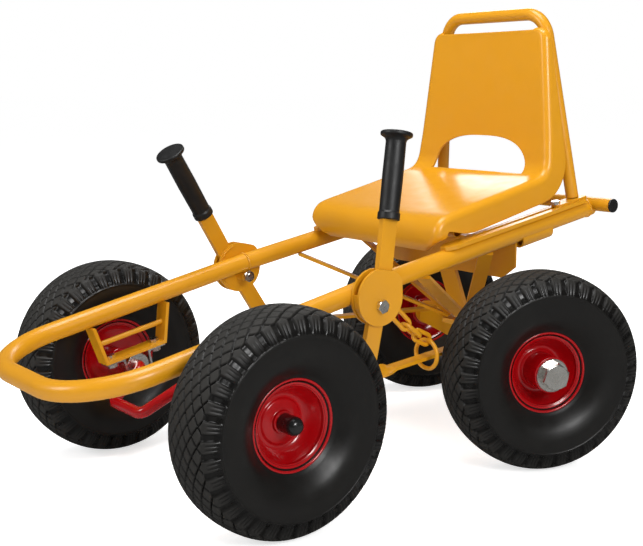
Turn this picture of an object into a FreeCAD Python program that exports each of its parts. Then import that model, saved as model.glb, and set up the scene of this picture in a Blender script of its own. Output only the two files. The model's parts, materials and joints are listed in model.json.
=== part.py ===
import FreeCAD, Part

import math
import os
import sys

from FreeCAD import Matrix, Placement, Rotation, Vector

# Child's four-wheel pedal car with lever steering on the rear axle. Millimetres.
# Origin: on the ground, under the middle of the front axle.
# +X is the driver's left, +Y points to the rear, +Z is up.
# It stands with the rear axle turned to its lock, so the left lever is back and the right one forward.

doc = FreeCAD.newDocument("PedalCar")
sheet = doc.addObject("Spreadsheet::Sheet", "Sizes")

driving = [
    # wheels
    ("wheelbase", 563, "front axle to king pin"),
    ("front_tyre_gap", 18.5, "side tube to the side of a front tyre"),
    ("lock_inset", 18.5, "edge of a rear tyre at the lock, inwards of a side tube's axis"),
    ("tyre_radius", 150, "tyre, outside"),
    ("tyre_width", 98, "tyre at its widest"),
    ("tyre_wall", 6, "rubber thickness"),
    ("rim_lip_radius", 61.6, "rim, over its lip"),
    ("bead_radius", 50.8, "bead seat of a four inch rim"),
    ("rim_width", 55, "over the two lips"),
    ("rim_sheet", 2.5, "pressed steel of the rim"),
    ("boss_radius", 28.5, "raised boss in the middle of the rim"),
    ("rod_radius", 8.5, "crank axle rod"),
    ("front_hub_radius", 15, "hub tube of a front wheel"),
    ("front_hub_out", 6, "front hub past the wheel's middle, outwards"),
    ("hub_in", 32, "hub past the wheel's middle, inwards"),
    ("rear_hub_radius", 27, "bearing housing of a rear wheel"),
    ("rear_hub_out", 42, "rear hub past the wheel's middle, outwards"),
    ("running_gap", 0.05, "radial clearance of a turning fit"),
    ("side_gap", 0.6, "clearance beside a turning or swinging piece"),
    ("cap_radius", 12.5, "hub cap"),
    ("cap_length", 32, "hub cap, hub to tip"),
    # main tubes
    ("tube_outer", 28, "diameter of the main tubes"),
    ("tube_wall", 2, "wall of the main tubes"),
    ("frame_half_width", 158, "middle of the car to a side tube's axis"),
    ("joint_y", 204, "where the front loop meets the side tubes"),
    ("joint_z", 290, "height of that joint"),
    ("front_rise", 12.4, "slope of the front loop, degrees"),
    ("rear_rise", 10.6, "slope of the side tubes, degrees"),
    ("front_reach", 240, "front axle to the axis of the front bar"),
    ("loop_radius", 112, "bend of the front loop's corners"),
    ("tail", 93, "king pin to the rear end of the side tubes"),
    ("push_bar_outer", 22, "diameter of the push bar"),
    ("push_bar_overhang", 47, "push bar past a side tube's axis"),
    ("push_bar_lift", 5, "push bar above the side tubes' axis"),
    ("plug_depth", 14, "push bar plug, inside the tube"),
    ("plug_head", 3, "push bar plug, outside the tube"),
    # front axle
    ("hanger_width", 28, "flat bar of a hanger"),
    ("hanger_thick", 5, "flat bar of a hanger"),
    ("hanger_half", 50, "half length of a hanger's foot"),
    ("rung_radius", 4, "round bar across a hanger"),
    ("hanger_front", 74, "front axle to the front weld of a hanger"),
    ("hanger_rear", 50, "front axle to the rear weld of a hanger"),
    ("bearing_inset", 6, "front bearing inwards of a side tube's axis"),
    ("bearing_radius", 19, "outside of a front bearing"),
    ("bearing_width", 14, "width of a front bearing"),
    ("strap_thick", 3, "strap under a front bearing"),
    ("strap_bolt_reach", 38, "bearing to a strap bolt"),
    ("strap_ear", 12, "strap past its bolt"),
    ("crank_throw", 72, "radius of the crank"),
    ("crank_angle", 34, "rise of the left throw behind the axle, degrees"),
    ("rod_bend", 17, "bend radius of the crank rod"),
    ("crank_cheek", 16, "crosswise run of a crank cheek"),
    # steering
    ("steer_lock", 21, "turn of the rear axle, each way, degrees"),
    ("lever_neutral", 10.5, "forward lean of both levers, driving straight, degrees"),
    ("lever_swing", 22.8, "swing of a lever, each way, degrees"),
    ("pivot_drop", 22, "lever pivot below the side tube's axis"),
    ("pivot_bolt_radius", 5, "lever pivot bolt"),
    ("plate_radius", 40, "round pivot plate"),
    ("plate_thick", 4, "round pivot plate"),
    ("lever_width", 25, "flat bar of a lever, seen from the side"),
    ("lever_thick", 9, "flat bar of a lever"),
    ("lever_up", 247, "pivot to the top of the grip"),
    ("lever_down", 105, "pivot to the link pin"),
    ("lever_straight", 50, "pivot to the inward bend"),
    ("lever_lean", 6.5, "inward lean of the levers above the bend, degrees"),
    ("grip_length", 126, "rubber grip"),
    ("grip_radius", 15, "rubber grip"),
    ("grip_flange_radius", 23, "flange at the grip's end"),
    ("arm_radius", 112, "king pin to a link stud"),
    ("stud_radius", 4, "link stud and link pin"),
    ("eye_play", 5, "radial play of a link on its stud"),
    ("link_width", 20, "flat bar of a link"),
    ("link_thick", 5, "flat bar of a link"),
    ("link_gap", 2.6, "washer between a link and its lever"),
    ("link_play", 2.4, "sideways play of a link on its pin"),
    ("twist_start", 34, "link pin to the start of the link's quarter twist"),
    ("twist_end", 70, "link pin to the end of that twist"),
    ("eye_radius", 15, "rear eye of a link"),
    ("stud_lift", 14, "height of a link above the beam, at rest"),
    # rear axle
    ("beam_side", 30, "square tube of the rear axle"),
    ("beam_wall", 3, "wall of that tube"),
    ("beam_flange_radius", 22, "round flange at each end of the beam"),
    ("beam_flange_thick", 4, "that flange"),
    ("axle_bolt_radius", 12, "bolt that a rear wheel turns on"),
    ("axle_bolt_flats", 36, "hexagon of that bolt, across flats"),
    ("washer_radius", 25, "washer under that bolt's head"),
    ("washer_thick", 3, "that washer"),
    ("kingpin_radius", 8, "king pin"),
    ("kingpin_sleeve_radius", 17, "sleeve in the beam"),
    ("kingpin_sleeve_half", 24, "half length of the sleeve"),
    ("base_plate_thick", 8, "plate that holds the king pin"),
    ("cross_plate_ahead", 63, "folded plate between the side tubes, ahead of the king pin"),
    ("cross_plate_low", 272, "its lower edge"),
    ("cross_plate_thick", 3, "its sheet"),
    ("strut_width", 22, "flat bar of a strut"),
    ("strut_thick", 5, "flat bar of a strut"),
    ("front_strut_ahead", 253, "top of the front struts, ahead of the king pin"),
    ("rear_strut_ahead", 126, "top of the rear struts, ahead of the king pin"),
    ("post_width", 38, "flat bar of the king pin post"),
    ("post_thick", 6, "flat bar of the king pin post"),
    # fasteners
    ("small_flats", 13, "small bolts, across flats"),
    ("small_head", 5.3, "small bolts, head"),
    ("small_nut", 6.5, "small bolts, nut"),
    ("pivot_flats", 17, "lever pivot bolt, across flats"),
    ("kingpin_flats", 24, "king pin, across flats"),
    ("axle_bolt_head", 14, "head of a rear wheel's bolt"),
    # chain
    ("chain_wire", 6.4, "wire of a chain link"),
    ("chain_overlap", 0.6, "play between two chain links"),
    ("chain_inner_width", 9, "inside width of a link"),
    ("chain_sag", 6, "sag of the chain"),
    ("guide_y", 322, "chain's guide ring on the left link"),
    ("guide_high", 36, "inside height of the guide ring"),
    ("guide_wide", 40, "inside width of the guide ring"),
    # seat
    ("rail_width", 28, "slotted seat rail"),
    ("rail_thick", 6, "slotted seat rail"),
    ("rail_front", 350, "front end of a rail"),
    ("rail_rear", 646, "rear end of a rail"),
    ("slot_front", 412, "front end of the slot"),
    ("slot_rear", 596, "rear end of the slot"),
    ("slot_width", 8.6, "slot for the clamp bolt"),
    ("clamp_bolt_radius", 4, "seat clamp bolt"),
    ("foot_length", 66, "foot of the seat hoop on a rail"),
    ("foot_thick", 4, "that foot"),
    ("foot_end", 652, "rear end of that foot"),
    ("seat_inset", 3, "side of the seat pan inwards of a side tube's axis"),
    ("seat_taper", 28, "seat back's top narrower than the pan, each side"),
    ("pan_rise", 54, "rear of the pan above its front edge"),
    ("pan_depth", 234, "front of the seat to the fold of the back"),
    ("back_lean", 14, "top of the back behind that fold"),
    ("arch_half_width", 107, "opening low in the seat back"),
    ("seat_sheet", 4, "seat shell"),
    ("seat_front", 336, "front of the seat"),
    ("back_height", 228, "fold of the back to its top"),
    ("seat_flange", 33, "depth of the turned-down sides"),
    ("hoop_outer", 20, "tube of the seat hoop"),
    ("hoop_wall", 1.5, "wall of that tube"),
    ("hoop_above", 25, "axis of the hoop's top above the back"),
    ("hoop_half_width", 112, "corner of the hoop"),
    ("hoop_bend", 42, "bend radius of the hoop's corners"),
    ("front_tube_outer", 18, "tube under the front of the seat"),
]
for row, (alias, value, note) in enumerate(driving, start=1):
    sheet.set(f"A{row}", note)
    sheet.set(f"B{row}", str(value))
    sheet.setAlias(f"B{row}", alias)
doc.recompute()


def size(alias):
    return float(getattr(sheet, alias))


def placed(origin, along_x, along_z):
    """Placement whose local X and Z point along two directions (Z is kept exact)."""
    z = Vector(*along_z).normalize()
    x = Vector(*along_x)
    x = (x - z * x.dot(z)).normalize()
    y = z.cross(x)
    return Placement(Matrix(x.x, y.x, z.x, origin[0],
                            x.y, y.y, z.y, origin[1],
                            x.z, y.z, z.z, origin[2],
                            0, 0, 0, 1))


# ---- places that several pieces share ----

left, right = 1, -1
axle_z = size("tyre_radius")
kingpin_y = size("wheelbase")
front_slope = math.tan(math.radians(size("front_rise")))
rear_slope = math.tan(math.radians(size("rear_rise")))
tube_radius = size("tube_outer") / 2
half_width = size("frame_half_width")
front_half_track = half_width + tube_radius + size("front_tyre_gap") + size("tyre_width") / 2
lock = math.radians(size("steer_lock"))
# wide enough that a turned wheel comes no further in than the inset, whatever its radius
swing = size("tyre_radius") * math.sin(lock)
rear_half_track = size("tyre_width") / 2 + (half_width - size("lock_inset") + swing) / math.cos(lock)
bearing_x = half_width - size("bearing_inset")
cross_plate_y = kingpin_y - size("cross_plate_ahead")
side_tube_end = kingpin_y + size("tail")
pivot = Vector(0, size("joint_y"), size("joint_z") - size("pivot_drop"))
plate_gap = size("lever_thick") + 2 * size("side_gap")
inner_plate_x = half_width + tube_radius
outer_plate_x = inner_plate_x + size("plate_thick") + plate_gap
lever_x = inner_plate_x + size("plate_thick") + plate_gap / 2
steer = Placement(Vector(0, kingpin_y, 0), Rotation(Vector(0, 0, 1), -size("steer_lock")))
rail_drop = math.hypot(1, rear_slope)
rail_sink = 1
rail_top = tube_radius + size("rail_thick") - rail_sink


def tube_z(y):
    """Height of the side tube's axis."""
    slope = front_slope if y < size("joint_y") else rear_slope
    return size("joint_z") + slope * (y - size("joint_y"))


def along_rail(side, y, rise):
    """Point over a side tube: at y on its axis, then square to the tube by rise."""
    return Vector(side * half_width, y - rise * rear_slope / rail_drop, tube_z(y) + rise / rail_drop)


def rail_placement(side, y, rise):
    """Local X runs across the car, local Y up the slope to the rear, local Z square to the tube."""
    return placed(along_rail(side, y, rise), (1, 0, 0), (0, -rear_slope, 1))


# ---- building blocks ----

finished = {}


def named(piece, label):
    piece.Label = label
    finished[label] = piece
    return piece


def moved(piece, placement):
    piece.Placement = placement
    return piece


def rod(radius, length, placement):
    """Cylinder along its local Z. The radius is an expression on the sheet."""
    piece = doc.addObject("Part::Cylinder", "Rod")
    piece.setExpression("Radius", radius)
    if isinstance(length, str):
        piece.setExpression("Height", length)
    else:
        piece.Height = length
    return moved(piece, placement)


def bar(length, width, thick, placement):
    """Flat bar that starts at its local origin and runs along local X, centred on Y and Z."""
    piece = doc.addObject("Part::Box", "Bar")
    piece.Length = length
    piece.setExpression("Width", width)
    piece.setExpression("Height", thick)
    doc.recompute()
    shift = Vector(0, -piece.Width.Value / 2, -piece.Height.Value / 2)
    return moved(piece, placement.multiply(Placement(shift, Rotation())))


def block(corner, spans):
    """Upright box from its lowest corner, to trim what stands on a plane."""
    piece = doc.addObject("Part::Box", "Block")
    piece.Length, piece.Width, piece.Height = spans
    return moved(piece, Placement(corner, Rotation()))


def hexagon(flats, height, placement):
    piece = doc.addObject("Part::Prism", "Hexagon")
    piece.Polygon = 6
    piece.setExpression("Circumradius", f"({flats}) / sqrt(3)")
    piece.setExpression("Height", height)
    return moved(piece, placement)


def fuse(pieces):
    piece = doc.addObject("Part::MultiFuse", "Welded")
    piece.Shapes = pieces
    return piece


def cut(base, *tools):
    for tool in tools:
        piece = doc.addObject("Part::Cut", "Cut")
        piece.Base = base
        piece.Tool = tool
        base = piece
    return base


def edges_of(outline, closed=True):
    """Lines and arcs through corner points. A corner (x, y, radius) is rounded by that radius."""
    count = len(outline)
    corners = []
    for index, corner in enumerate(outline):
        point = Vector(corner[0], corner[1], 0)
        radius = corner[2] if len(corner) > 2 else 0
        if radius == 0 or (not closed and index in (0, count - 1)):
            corners.append((point, None, point))
            continue
        before = Vector(*outline[index - 1][:2], 0) - point
        after = Vector(*outline[(index + 1) % count][:2], 0) - point
        half = before.getAngle(after) / 2
        reach = radius / math.tan(half)
        middle = (before.normalize() + after.normalize()).normalize()
        top = point + middle * (radius / math.sin(half) - radius)
        corners.append((point + before * reach, top, point + after * reach))
    edges = []
    for index, (start, top, end) in enumerate(corners):
        if top is not None:
            edges.append(Part.Arc(start, top, end))
        if closed or index < count - 1:
            following = corners[(index + 1) % count][0]
            if (following - end).Length > 1e-6:
                edges.append(Part.LineSegment(end, following))
    return edges


def sketch_in(body, role, edges, name="Outline"):
    sketch = body.newObject("Sketcher::SketchObject", name)
    plane = next(o for o in body.Origin.OriginFeatures if o.Role == role)
    sketch.AttachmentSupport = [(plane, "")]
    sketch.MapMode = "FlatFace"
    sketch.addGeometry(edges, False)
    return sketch


def circle(x, y, radius):
    return Part.Circle(Vector(x, y, 0), Vector(0, 0, 1), radius)


def plate(outline, thick, placement, holes=()):
    """Pad of a closed outline, centred on its plane. The thickness is an expression."""
    body = doc.addObject("PartDesign::Body", "Plate")
    edges = edges_of(outline) + [circle(*hole) for hole in holes]
    sketch = sketch_in(body, "XY_Plane", edges)
    pad = body.newObject("PartDesign::Pad", "Pad")
    pad.Profile = sketch
    pad.setExpression("Length", thick)
    pad.Midplane = True
    return moved(body, placement)


def turned(outline, placement):
    """Solid of revolution about local Z. Outline points are (radius, height)."""
    body = doc.addObject("PartDesign::Body", "Turned")
    sketch = sketch_in(body, "XZ_Plane", edges_of(outline))
    revolution = body.newObject("PartDesign::Revolution", "Revolution")
    revolution.Profile = sketch
    revolution.ReferenceAxis = (sketch, ["V_Axis"])
    revolution.Angle = 360
    return moved(body, placement)


def bent_tube(route, outer, wall, placement, lean=0):
    """Round tube or rod along a flat route in its local XY plane, starting along local Y or leaning off it."""
    body = doc.addObject("PartDesign::Body", "BentTube")
    spine = sketch_in(body, "XY_Plane", edges_of(route, closed=False), "Route")
    rings = [circle(0, 0, outer / 2)]
    if wall:
        rings.append(circle(0, 0, outer / 2 - wall))
    section = sketch_in(body, "XZ_Plane", rings, "Section")
    start = Vector(route[0][0], 0, -route[0][1])
    section.AttachmentOffset = Placement(start, Rotation(Vector(0, 1, 0), lean))
    pipe = body.newObject("PartDesign::AdditivePipe", "Pipe")
    pipe.Profile = section
    pipe.Spine = (spine, [f"Edge{n + 1}" for n in range(len(spine.Geometry))])
    return moved(body, placement)


def strip(points, thick):
    """Outline of a bent flat bar of constant thickness along a chain of (x, y) points."""
    sides = []
    for side in (1, -1):
        edge = []
        for index, (x, y) in enumerate(points):
            here = Vector(x, y, 0)
            normals = []
            if index > 0:
                run = (here - Vector(*points[index - 1], 0)).normalize()
                normals.append(Vector(-run.y, run.x, 0))
            if index < len(points) - 1:
                run = (Vector(*points[index + 1], 0) - here).normalize()
                normals.append(Vector(-run.y, run.x, 0))
            mitre = normals[0] if len(normals) == 1 else (normals[0] + normals[1]).normalize()
            edge.append(here + mitre * (side * thick / 2 / mitre.dot(normals[0])))
        sides.append([(p.x, p.y) for p in edge])
    return sides[0] + sides[1][::-1]


# local X to the rear, local Y up, local Z across the car: for outlines drawn from the side
def side_view(x):
    return placed((x, 0, 0), (0, 1, 0), (1, 0, 0))


# local Z along the car's +X: for pieces on a crosswise axis
def crosswise(x, y, z):
    return placed((x, y, z), (0, 1, 0), (1, 0, 0))


def across(side, x, y, z):
    """Local Z points outwards, away from the middle of the car."""
    return placed((side * x, y, z), (0, 1, 0), (side, 0, 0))


def small_bolt(head_place, nut_place, length):
    """Small bolt whose head stands up on one face, and whose nut hangs under the other."""
    shank = rod("Sizes.stud_radius", length, nut_place)
    head = hexagon("Sizes.small_flats", "Sizes.small_head", head_place)
    nut = hexagon("Sizes.small_flats", "Sizes.small_nut", turned_over(nut_place))
    return [shank, head, nut]


def lifted(placement, height):
    return placement.multiply(Placement(Vector(0, 0, height), Rotation()))


def turned_over(placement):
    return placement.multiply(Placement(Vector(), Rotation(Vector(1, 0, 0), 180)))


def side_rod(side, y, length, radius="Sizes.tube_outer / 2"):
    """Solid rod on a side tube's axis from y, to trim what is welded to the tube."""
    slope = front_slope if y < size("joint_y") else rear_slope
    return rod(radius, length, placed((side * half_width, y, tube_z(y)), (1, 0, 0), (0, 1, slope)))


# ---- main frame ----

def front_loop():
    """Bumper and front side rails: one tube bent round two corners, in a sloping plane."""
    length = (size("front_reach") + size("joint_y")) / math.cos(math.radians(size("front_rise")))
    bend = size("loop_radius")
    route = [(half_width, 0), (half_width, -length, bend), (-half_width, -length, bend), (-half_width, 0)]
    place = placed((0, size("joint_y"), size("joint_z")), (1, 0, 0), (0, -front_slope, 1))
    named(bent_tube(route, size("tube_outer"), size("tube_wall"), place), "front_loop")


def push_bar_place():
    """Axis of the push bar, which closes the ends of the side tubes."""
    y = side_tube_end + size("push_bar_outer") / 2
    return y, tube_z(y) + size("push_bar_lift")


def side_tubes():
    bar_y, bar_z = push_bar_place()
    start = size("joint_y") + size("side_gap")
    length = (side_tube_end + size("push_bar_outer") / 2 - start) * rail_drop
    for side, name in ((left, "left"), (right, "right")):
        place = placed((side * half_width, start, tube_z(start)), (1, 0, 0), (0, 1, rear_slope))
        outer = rod("Sizes.tube_outer / 2", length, place)
        inner = rod("Sizes.tube_outer / 2 - Sizes.tube_wall", length, place)
        cope = rod("Sizes.push_bar_outer / 2", 4 * tube_radius,
                   crosswise(side * half_width - 2 * tube_radius, bar_y, bar_z))
        named(cut(outer, inner, cope), f"{name}_side_tube")


def push_bar():
    y, z = push_bar_place()
    half = half_width + size("push_bar_overhang")
    outer = rod("Sizes.push_bar_outer / 2", 2 * half, crosswise(-half, y, z))
    inner = rod("Sizes.push_bar_outer / 2 - Sizes.tube_wall", 2 * half, crosswise(-half, y, z))
    named(cut(outer, inner), "push_bar")
    edge = size("push_bar_outer") / 2
    stem = edge - size("tube_wall")
    depth = size("plug_depth")
    head = size("plug_head")
    for side, name in ((left, "left"), (right, "right")):
        outline = [(0, -depth), (stem, -depth), (stem, 0), (edge, 0), (edge, head, 0.4 * head), (0, head)]
        named(turned(outline, across(side, half, y, z)), f"{name}_push_bar_plug")


def hanger_blanks():
    """Bent flat bar under each side rail, which carries a front bearing, with a round rung."""
    foot = size("bearing_radius") + size("side_gap") + size("hanger_thick") / 2
    tilt = math.radians(size("front_rise"))
    reach = size("hanger_half")

    def at(y, z):
        return (y * math.cos(tilt) - z * math.sin(tilt), axle_z + y * math.sin(tilt) + z * math.cos(tilt))

    under = tube_radius / math.cos(tilt) - 1
    front_top = (-size("hanger_front"), tube_z(-size("hanger_front")) - under)
    rear_top = (size("hanger_rear"), tube_z(size("hanger_rear")) - under)
    low_front, low_rear = at(-reach, foot), at(reach, foot)
    rung_front = [(a + b) / 2 for a, b in zip(front_top, low_front)]
    rung_rear = [(a + b) / 2 for a, b in zip(rear_top, low_rear)]
    run = Vector(0, rung_rear[0] - rung_front[0], rung_rear[1] - rung_front[1])
    outline = strip([front_top, low_front, low_rear, rear_top], size("hanger_thick"))
    trim_from = -2 * size("hanger_front")
    blanks = {}
    for side in (left, right):
        x = side * bearing_x
        flat = plate(outline, "Sizes.hanger_width", side_view(x))
        rung = rod("Sizes.rung_radius", run.Length, placed((x, *rung_front), (1, 0, 0), run))
        blanks[side] = cut(fuse([flat, rung]), side_rod(side, trim_from, -2 * trim_from))
    return blanks


def strap_outline(seat, thick, reach):
    """Strap bent round a bearing, open at the top, with an ear each way for its bolts."""
    low = -seat - thick
    outer = [(-reach, seat - thick), (low, seat - thick, 4), (low, low, seat + thick - 1),
             (-low, low, seat + thick - 1), (-low, seat - thick, 4), (reach, seat - thick)]
    inner = [(reach, seat), (seat, seat), (seat, -seat, seat - 1), (-seat, -seat, seat - 1), (-seat, seat),
             (-reach, seat)]
    return outer + inner


def front_bearings():
    """Hanger, bearing ring, the pressed strap that holds the ring up, and two bolts."""
    blanks = hanger_blanks()
    ring = size("bearing_radius")
    bore = size("rod_radius") + size("running_gap")
    half = size("bearing_width") / 2
    thick = size("strap_thick")
    seat = ring + size("side_gap")
    stack = thick + size("hanger_thick")
    outline = [(bore, -half), (ring, -half, 1), (ring, half, 1), (bore, half)]
    strap_shape = strap_outline(seat, thick, size("strap_bolt_reach") + size("strap_ear"))
    for side, name in ((left, "left"), (right, "right")):
        x = side * bearing_x
        named(turned(outline, across(side, bearing_x, 0, axle_z)), f"{name}_bearing")
        tilted = placed((x, 0, axle_z), (0, 1, front_slope), (1, 0, 0))
        strap = plate(strap_shape, "Sizes.bearing_width + 8", tilted)
        upright = placed((x, 0, axle_z), (1, 0, 0), (0, -front_slope, 1))
        bolts = []
        holes = []
        for reach in (-size("strap_bolt_reach"), size("strap_bolt_reach")):
            low = upright.multiply(Placement(Vector(0, reach, seat - thick), Rotation()))
            holes.append(rod("Sizes.stud_radius", stack, low))
            bolts += small_bolt(lifted(low, stack), low, stack)
        named(cut(strap, *holes), f"{name}_bearing_strap")
        named(cut(blanks[side], *holes), f"{name}_hanger")
        named(fuse(bolts), f"{name}_strap_bolts")


def pivot_outline(radius, centre_z):
    """Round plate with a flat at its top rear, under the seat rail."""
    y = pivot.y
    corner = 0.94 * radius
    return [(y - 1, centre_z + radius), (y - radius, centre_z + radius, radius - 1),
            (y - radius, centre_z - radius, radius - 1), (y + radius, centre_z - radius, radius - 1),
            (y + corner, centre_z + 0.55 * radius), (y + 0.7 * radius, centre_z + 0.85 * radius, 0.35 * radius)]


def pivot_plates():
    """Two round plates on the outside of each side tube, with the lever between them."""
    radius = size("plate_radius")
    bolt = size("pivot_bolt_radius")
    centre_z = pivot.z + 0.3 * radius
    outline = pivot_outline(radius, centre_z)
    edge = pivot.y - radius
    web_line = [(edge + 3, centre_z + 6), (edge + 5, centre_z - 12), (edge + 14, centre_z - 26)]
    bolt_in = half_width - tube_radius + 6
    bolt_out = outer_plate_x + size("plate_thick")
    boss_length = inner_plate_x - bolt_in
    for side, name in ((left, "left"), (right, "right")):
        discs = [plate(outline, "Sizes.plate_thick", side_view(side * (x + size("plate_thick") / 2)),
                       holes=[(pivot.y, pivot.z, bolt)]) for x in (inner_plate_x, outer_plate_x)]
        inward = across(side, bolt_in, pivot.y, pivot.z)
        # boss under the side tube that the bolt passes through
        boss = rod("Sizes.pivot_bolt_radius + 4", boss_length, inward)
        hole = rod("Sizes.pivot_bolt_radius", boss_length, inward)
        trims = [side_rod(side, pivot.y - radius, 2 * radius), side_rod(side, pivot.y, 2 * radius)]
        named(fuse([discs[0], cut(boss, hole, *trims)]), f"{name}_inner_plate")
        # the outer plate stands on a bent web along its front edge
        web = plate(strip(web_line, size("plate_thick")), "Sizes.lever_thick + 2 * Sizes.side_gap",
                    side_view(side * lever_x))
        named(fuse([discs[1], web]), f"{name}_outer_plate")

        shank = rod("Sizes.pivot_bolt_radius", bolt_out - bolt_in, inward)
        head = hexagon("Sizes.pivot_flats", "Sizes.small_nut", across(side, bolt_out, pivot.y, pivot.z))
        nut = hexagon("Sizes.pivot_flats", "Sizes.small_nut", turned_over(inward))
        named(fuse([shank, head, nut]), f"{name}_pivot_bolt")


def cross_plate():
    """Folded plate under the side tubes, with a rolled saddle behind it on each side."""
    y = cross_plate_y
    low = size("cross_plate_low")
    thick = size("cross_plate_thick")
    top = tube_z(y) - tube_radius * rail_drop - thick * rear_slope
    corner = 20
    outline = [(-half_width, low + corner), (-half_width + 28, low), (half_width - 28, low),
               (half_width, low + corner), (half_width, top), (-half_width, top)]
    face = plate(outline, "Sizes.cross_plate_thick", placed((0, y, 0), (1, 0, 0), (0, -1, 0)))
    fold = 24
    fold_half = half_width - tube_radius - 2
    fold_place = placed((-fold_half, y + (fold - thick) / 2, top - thick / 2), (1, 0, 0), (0, 0, 1))
    pieces = [face, bar(2 * fold_half, f"{fold}", "Sizes.cross_plate_thick", fold_place)]
    start = y + thick / 2
    saddle = 66
    drop = tube_radius - 3
    for side in (left, right):
        place = placed(along_rail(side, start, -drop), (1, 0, 0), (0, 1, rear_slope))
        roll = rod("Sizes.tube_outer / 2 - 1", saddle, place)
        hollow = rod("Sizes.tube_outer / 2 - 1 - Sizes.cross_plate_thick", saddle, place)
        pieces.append(cut(roll, hollow, side_rod(side, start - saddle / 2, 2 * saddle)))
    named(fuse(pieces), "cross_plate")


def kingpin_mount():
    """Post, struts, base plate and king pin bolt."""
    sleeve = size("kingpin_sleeve_half")
    base = axle_z + sleeve + size("side_gap")
    top = base + size("base_plate_thick")
    front, rear, wide = kingpin_y - 48, kingpin_y + 24, 30
    outline = [(-wide, front, 8), (wide, front, 8), (wide, rear, 14), (-wide, rear, 14)]
    base_place = placed((0, 0, (base + top) / 2), (1, 0, 0), (0, 0, 1))
    holes = [(0, kingpin_y, size("kingpin_radius"))]
    named(plate(outline, "Sizes.base_plate_thick", base_place, holes), "kingpin_base")

    half_post = size("post_thick") / 2
    post_y = cross_plate_y + size("cross_plate_thick") / 2 + half_post + 0.2
    low = size("cross_plate_low")
    line = [(post_y, low + 44), (post_y, low - 2), (kingpin_y - 26, top + half_post - 0.6)]
    named(plate(strip(line, size("post_thick")), "Sizes.post_width", side_view(0)), "kingpin_post")

    under = axle_z - sleeve - size("side_gap")
    end = under - size("washer_thick")
    hang = placed((0, kingpin_y, under), (1, 0, 0), (0, 0, -1))
    shank = rod("Sizes.kingpin_radius", top - end, placed((0, kingpin_y, end), (1, 0, 0), (0, 0, 1)))
    head = hexagon("Sizes.kingpin_flats", "10", placed((0, kingpin_y, top), (1, 0, 0), (0, 0, 1)))
    washer = rod("Sizes.kingpin_sleeve_radius", "Sizes.washer_thick", hang)
    nut = hexagon("Sizes.kingpin_flats", "13", lifted(hang, size("washer_thick")))
    named(fuse([shank, head, washer, nut]), "kingpin")

    reach = size("front_strut_ahead")
    ends = ((kingpin_y - reach, kingpin_y - 40), (kingpin_y - size("rear_strut_ahead"), kingpin_y - 30))
    for side, name in ((left, "left"), (right, "right")):
        bars = []
        for top_y, foot_y in ends:
            start = Vector(side * (half_width - 2), top_y, tube_z(top_y) - tube_radius - 1)
            run = Vector(side * 22, foot_y, top + 4) - start
            flat = Vector(0, 0, -1).cross(run).cross(run)
            place = placed(start, run, flat)
            bars.append(bar(run.Length, "Sizes.strut_width", "Sizes.strut_thick", place))
        below = block(Vector(-half_width, kingpin_y - reach, 0), Vector(2 * half_width, 2 * reach, top))
        other_side = block(Vector(min(0, -side * half_width), kingpin_y - reach, 0),
                           Vector(half_width, 2 * reach, 2 * top))
        tube = side_rod(side, kingpin_y - reach - 60, reach)
        named(cut(fuse(bars), below, tube, other_side), f"{name}_struts")


# ---- crank axle and wheels ----

def crank_axle():
    """One rod: two opposite throws between the bearings, straight ends through the wheels."""
    radius = size("crank_throw")
    bend = size("rod_bend")
    end = front_half_track + size("front_hub_out") + size("cap_length") * 0.6
    cheek = size("crank_cheek")
    middle = cheek + 10
    elbow = bend * math.tan(math.atan2(radius, cheek) / 2)
    corner = bearing_x - size("bearing_width") / 2 - size("side_gap") - elbow
    route = [(0, end), (0, corner, bend), (radius, corner - cheek, bend), (radius, middle, bend),
             (-radius, -middle, bend), (-radius, cheek - corner, bend), (0, -corner, bend), (0, -end)]
    angle = math.radians(size("crank_angle"))
    # local Y lies along the car's +X, local X towards the left throw
    throw = Vector(0, math.cos(angle), math.sin(angle))
    place = placed((0, 0, axle_z), throw, throw.cross(Vector(1, 0, 0)))
    named(bent_tube(route, 2 * size("rod_radius"), 0, place), "crank_axle")


def rim_outline(hub_radius, hub_out, bore, housing):
    """Rim section as (radius, distance outwards from the wheel's middle). A housing is a hollow hub."""
    lip = size("rim_lip_radius")
    seat = size("bead_radius")
    half = size("rim_width") / 2
    sheet_thick = size("rim_sheet")
    boss = size("boss_radius")
    inner = size("hub_in")
    well = seat - sheet_thick
    outer_side = [(hub_radius, -sheet_thick), (hub_radius, hub_out, 1), (bore, hub_out)]
    middle = []
    if housing:
        ring = 12
        middle = [(bore, hub_out - ring), (hub_radius - 4, hub_out - ring), (hub_radius - 4, ring - inner),
                  (bore, ring - inner)]
    inner_side = [(bore, -inner), (hub_radius, -inner, 1), (hub_radius, -2 * sheet_thick)]
    dish, step = -14, -8
    web_inner = [(boss, -2 * sheet_thick, 3), (boss + 6, step, 3), (well, dish, 6)]
    web_outer = [(well, dish + 1.2 * sheet_thick, 6), (boss + 7, step + sheet_thick, 3),
                 (boss, 1 - sheet_thick, 2)]
    barrel_in = [(well, -half + 3, 4), (lip - 1, -half, 1)]
    flange_in = [(lip, -half + sheet_thick, 1), (seat, -half + sheet_thick + 3, 1)]
    flange_out = [(seat, half - sheet_thick - 3, 1), (lip, half - sheet_thick, 1)]
    barrel_out = [(lip - 1, half, 1), (well, half - 3, 4)]
    return (inner_side + web_inner + barrel_in + flange_in + flange_out + barrel_out + web_outer
            + outer_side + middle)


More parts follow.
